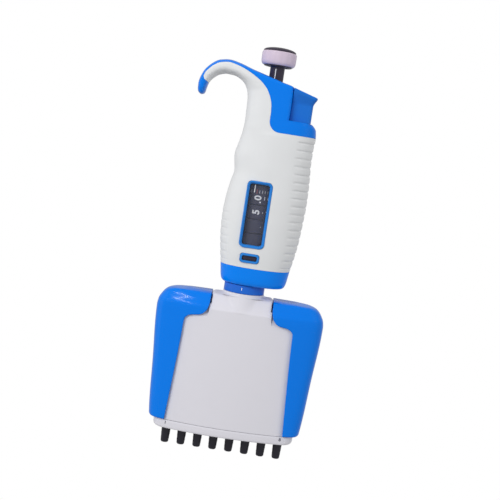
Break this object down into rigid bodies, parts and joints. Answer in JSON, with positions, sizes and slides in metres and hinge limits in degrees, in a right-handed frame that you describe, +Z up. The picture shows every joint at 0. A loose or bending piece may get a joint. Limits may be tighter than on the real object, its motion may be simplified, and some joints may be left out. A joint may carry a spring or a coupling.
{
  "type": "multichannel pipette",
  "caption": "Manual multichannel air-displacement pipette with finger hook, volume dial, plunger button, tip ejector and a swivelling manifold carrying a row of tip cones.",
  "frame": {"origin": "middle of the row of tip cones, on the plane of their ends", "axes": "+Z up the plunger's axis, +X along the row of cones away from the finger hook, -Y out of the display"},
  "size_m": [0.093, 0.0338, 0.225],
  "materials": {
    "white_plastic": "satin moulded",
    "panel_white": "semi-gloss moulded",
    "blue_plastic": "gloss moulded",
    "deep_blue": "semi-gloss moulded",
    "dark_plastic": "semi-gloss moulded",
    "cone_black": "satin moulded",
    "pink_ring": "translucent gloss",
    "drum_dark": "satin with white digits",
    "lens_clear": "clear gloss",
    "steel": "turned",
    "brass": "turned",
    "grey_plastic": "moulded",
    "seal_rubber": "moulded"
  },
  "bodies": {
    "handle": {"handle_front_shell": "white_plastic", "handle_rear_shell": "white_plastic", "handle_screw_lower": "steel", "handle_screw_upper": "steel", "top_cover": "blue_plastic", "stem_bush": "deep_blue", "bottom_collar": "blue_plastic", "window_frame": "deep_blue", "window_lens": "lens_clear", "slot_frame": "deep_blue", "calibration_plug": "dark_plastic", "drum_sleeve": "grey_plastic", "drum_retainer": "drum_dark", "chassis_frame": "grey_plastic", "stop_cup": "grey_plastic", "blowout_washer": "steel", "blowout_spring": "steel", "plunger_return_spring": "steel", "ejector_return_spring": "steel"},
    "plunger": {"plunger_rod": "steel", "plunger_flange": "brass"},
    "knob": {"stem": "dark_plastic", "button_ring": "pink_ring", "button_cap": "dark_plastic", "adjusting_spindle": "steel"},
    "drum_tens": {"drum_tens": "drum_dark"},
    "drum_units": {"drum_units": "drum_dark"},
    "drum_tenths": {"drum_tenths": "drum_dark"},
    "stop_nut": {"stop_nut": "grey_plastic"},
    "ejector": {"ejector_button": "blue_plastic", "ejector_rod": "steel", "ejector_sleeve": "steel"},
    "manifold": {"neck_ring": "deep_blue", "manifold_front_shell": "panel_white", "manifold_rear_shell": "panel_white", "cylinder_block": "grey_plastic", "seal_plate": "seal_rubber", "guide_rod_left": "steel", "guide_rod_right": "steel", "tip_cone_1": "cone_black", "tip_cone_2": "cone_black", "tip_cone_3": "cone_black", "tip_cone_4": "cone_black", "tip_cone_5": "cone_black", "tip_cone_6": "cone_black", "tip_cone_7": "cone_black", "tip_cone_8": "cone_black"},
    "piston_set": {"piston_bar": "grey_plastic", "piston_1": "steel", "piston_2": "steel", "piston_3": "steel", "piston_4": "steel", "piston_5": "steel", "piston_6": "steel", "piston_7": "steel", "piston_8": "steel"},
    "ejector_frame": {"ejector_bar": "panel_white", "wing_left": "blue_plastic", "wing_right": "blue_plastic", "ejector_yoke": "grey_plastic"}
  },
  "joints": [
    {"name": "plunger_press", "type": "slide", "parent": "handle", "child": "plunger", "axis": [0, 0, -1], "range_m": [0, 0.0036], "stiffness_N_per_m": 300, "springref_m": -0.01, "deforming": ["plunger_return_spring"]},
    {"name": "knob_turn", "type": "hinge", "parent": "plunger", "child": "knob", "pos_m": [0, 0, 0.2], "axis": [0, 0, 1], "range_deg": [-1620, 1800]},
    {"name": "tenths_drum_turn", "type": "hinge", "parent": "handle", "child": "drum_tenths", "pos_m": [0, 0, 0.145], "axis": [0, 0, 1], "range_deg": [-1621, 1801]},
    {"name": "units_drum_turn", "type": "hinge", "parent": "handle", "child": "drum_units", "pos_m": [0, 0, 0.1358], "axis": [0, 0, 1], "range_deg": [-163, 181]},
    {"name": "tens_drum_turn", "type": "hinge", "parent": "handle", "child": "drum_tens", "pos_m": [0, 0, 0.128], "axis": [0, 0, 1], "range_deg": [-17, 19]},
    {"name": "stop_nut_travel", "type": "slide", "parent": "handle", "child": "stop_nut", "axis": [0, 0, 1], "range_m": [-0.0015, 0.0017]},
    {"name": "ejector_press", "type": "slide", "parent": "handle", "child": "ejector", "axis": [0, 0, -1], "range_m": [0, 0.0045], "stiffness_N_per_m": 400, "springref_m": -0.006, "deforming": ["ejector_return_spring"]},
    {"name": "manifold_swivel", "type": "hinge", "parent": "handle", "child": "manifold", "pos_m": [0, 0, 0.0929], "axis": [0, 0, 1], "continuous": true},
    {"name": "piston_travel", "type": "slide", "parent": "manifold", "child": "piston_set", "axis": [0, 0, -1], "range_m": [0, 0.0037]},
    {"name": "ejector_frame_travel", "type": "slide", "parent": "manifold", "child": "ejector_frame", "axis": [0, 0, -1], "range_m": [0, 0.0046]}
  ],
  "couplings": [
    {"joint": "tenths_drum_turn", "follows": "knob_turn", "ratio": 1},
    {"joint": "units_drum_turn", "follows": "knob_turn", "ratio": 0.1},
    {"joint": "tens_drum_turn", "follows": "knob_turn", "ratio": 0.01},
    {"joint": "stop_nut_travel", "follows": "knob_turn", "m_per_rad": 0.0000506},
    {"joint": "piston_travel", "follows": "plunger_press", "ratio": 1},
    {"joint": "ejector_frame_travel", "follows": "ejector_press", "ratio": 1}
  ]
}
